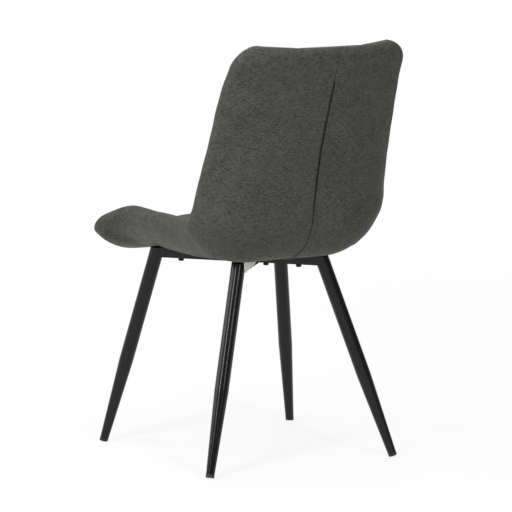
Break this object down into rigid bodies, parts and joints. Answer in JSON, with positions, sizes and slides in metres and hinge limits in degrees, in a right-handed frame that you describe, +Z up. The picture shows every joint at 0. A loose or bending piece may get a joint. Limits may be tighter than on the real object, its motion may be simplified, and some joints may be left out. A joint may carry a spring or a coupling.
{
  "type": "dining chair",
  "caption": "Padded bucket-shell dining chair in dark woven fabric on splayed, tapered black steel legs under a crossed rail frame.",
  "frame": {"origin": "on the floor, under the middle of the chair's outline", "axes": "+Z up, the sitter faces -Y, +X is the sitter's left"},
  "size_m": [0.5018, 0.5976, 0.9006],
  "materials": {
    "charcoal_weave": "matt woven upholstery fabric with fine slubs",
    "upholstery_foam": "open-cell polyurethane foam",
    "moulded_plywood": "moulded plywood, hidden, species assumed",
    "black_powder_coat": "semi-gloss black powder coat on steel tube",
    "black_polyethylene": "moulded black polyethylene",
    "black_oxide_steel": "black oxide on steel fasteners",
    "zinc_steel": "bright zinc plate",
    "black_nonwoven": "black spunbond cloth",
    "white_tag_cloth": "plain white woven tape, blank"
  },
  "bodies": {
    "root": {"seat_cover": "charcoal_weave", "back_cover": "charcoal_weave", "rear_cover_left": "charcoal_weave", "rear_cover_right": "charcoal_weave", "seat_foam": "upholstery_foam", "back_foam": "upholstery_foam", "rear_padding": "upholstery_foam", "plywood_shell": "moulded_plywood", "main_rail": "black_powder_coat", "cross_rail_front": "black_powder_coat", "cross_rail_rear": "black_powder_coat", "leg_front_left": "black_powder_coat", "leg_front_right": "black_powder_coat", "leg_rear_left": "black_powder_coat", "leg_rear_right": "black_powder_coat", "foot_plug_front_left": "black_polyethylene", "foot_plug_front_right": "black_polyethylene", "foot_plug_rear_left": "black_polyethylene", "foot_plug_rear_right": "black_polyethylene", "frame_bolts": "black_oxide_steel", "flat_washers": "black_oxide_steel", "spring_washers": "black_oxide_steel", "tee_nuts": "zinc_steel", "dust_cover_staples": "zinc_steel", "dust_cover": "black_nonwoven", "sewn_tag": "white_tag_cloth"}
  },
  "joints": []
}
